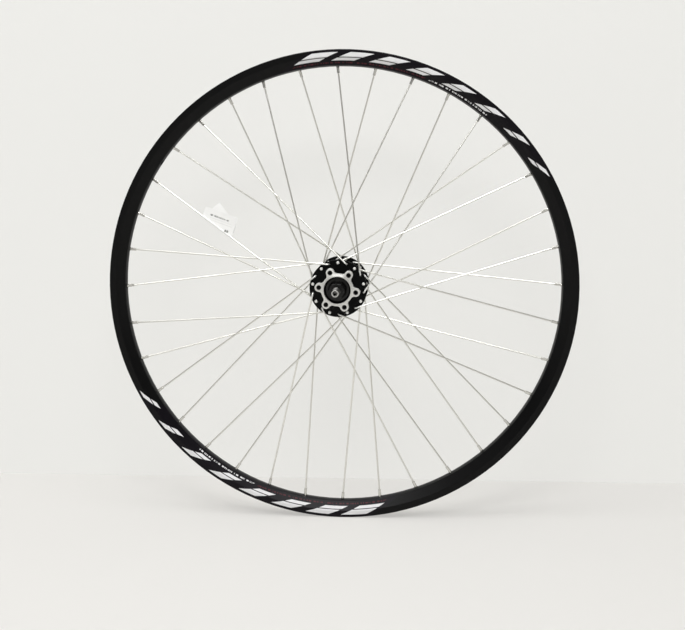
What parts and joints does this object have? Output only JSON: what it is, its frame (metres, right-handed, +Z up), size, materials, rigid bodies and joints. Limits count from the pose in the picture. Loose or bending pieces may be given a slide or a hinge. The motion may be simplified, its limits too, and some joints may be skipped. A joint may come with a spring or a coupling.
{
  "type": "rear bicycle wheel",
  "caption": "Rear bicycle wheel without a tyre: black double-wall rim, crossed wire spokes, and a hub for a disc brake that spins on a solid axle.",
  "frame": {"origin": "the wheel's centre, on the axle and midway between the locknuts' outer faces", "axes": "+Y along the axle, away from the disc brake's side; +Z up; +X to the right as the picture shows it"},
  "size_m": [0.5714, 0.175, 0.5714],
  "materials": {
    "black_rim": "black anodised, satin",
    "black_hub": "black anodised, semi-gloss",
    "silver_aluminium": "lathe-turned, bare",
    "spoke_steel": "drawn stainless wire",
    "nipple_brass": "nickel-plated",
    "bearing_steel": "ground and greased",
    "ball_steel": "polished",
    "axle_steel": "threaded, oiled",
    "black_steel": "blackened",
    "white_paper": "matt, with grey bars"
  },
  "bodies": {
    "axle_set": {"axle": "axle_steel", "left_cone": "bearing_steel", "left_washer": "black_steel", "left_spacer": "black_steel", "left_locknut": "black_steel", "right_cone": "bearing_steel", "right_washer": "black_steel", "right_spacer": "black_steel", "right_locknut": "black_steel"},
    "wheel": {"rim": "black_rim", "nipples": "nipple_brass", "hub_shell": "black_hub", "disc_mount": "silver_aluminium", "paper_label": "white_paper", "spoke_01": "spoke_steel", "spoke_02": "spoke_steel", "spoke_03": "spoke_steel", "spoke_04": "spoke_steel", "spoke_05": "spoke_steel", "spoke_06": "spoke_steel", "spoke_07": "spoke_steel", "spoke_08": "spoke_steel", "spoke_09": "spoke_steel", "spoke_10": "spoke_steel", "spoke_11": "spoke_steel", "spoke_12": "spoke_steel", "spoke_13": "spoke_steel", "spoke_14": "spoke_steel", "spoke_15": "spoke_steel", "spoke_16": "spoke_steel", "spoke_17": "spoke_steel", "spoke_18": "spoke_steel", "spoke_19": "spoke_steel", "spoke_20": "spoke_steel", "spoke_21": "spoke_steel", "spoke_22": "spoke_steel", "spoke_23": "spoke_steel", "spoke_24": "spoke_steel", "spoke_25": "spoke_steel", "spoke_26": "spoke_steel", "spoke_27": "spoke_steel", "spoke_28": "spoke_steel", "spoke_29": "spoke_steel", "spoke_30": "spoke_steel", "spoke_31": "spoke_steel", "spoke_32": "spoke_steel", "spoke_33": "spoke_steel", "spoke_34": "spoke_steel", "spoke_35": "spoke_steel", "spoke_36": "spoke_steel", "left_bearing_cup": "bearing_steel", "left_dust_cap": "black_steel", "right_bearing_cup": "bearing_steel", "right_dust_cap": "black_steel"},
    "left_ball_set": {"left_bearing_balls": "ball_steel"},
    "right_ball_set": {"right_bearing_balls": "ball_steel"}
  },
  "joints": [
    {"name": "wheel_spin", "type": "hinge", "parent": "axle_set", "child": "wheel", "pos_m": [0, 0, 0], "axis": [0, 1, 0], "continuous": true},
    {"name": "left_ball_orbit", "type": "hinge", "parent": "axle_set", "child": "left_ball_set", "pos_m": [0, -0.041, 0], "axis": [0, 1, 0], "continuous": true},
    {"name": "right_ball_orbit", "type": "hinge", "parent": "axle_set", "child": "right_ball_set", "pos_m": [0, 0.035, 0], "axis": [0, 1, 0], "continuous": true}
  ],
  "couplings": [
    {"joint": "left_ball_orbit", "follows": "wheel_spin", "ratio": 0.612},
    {"joint": "right_ball_orbit", "follows": "wheel_spin", "ratio": 0.612}
  ]
}
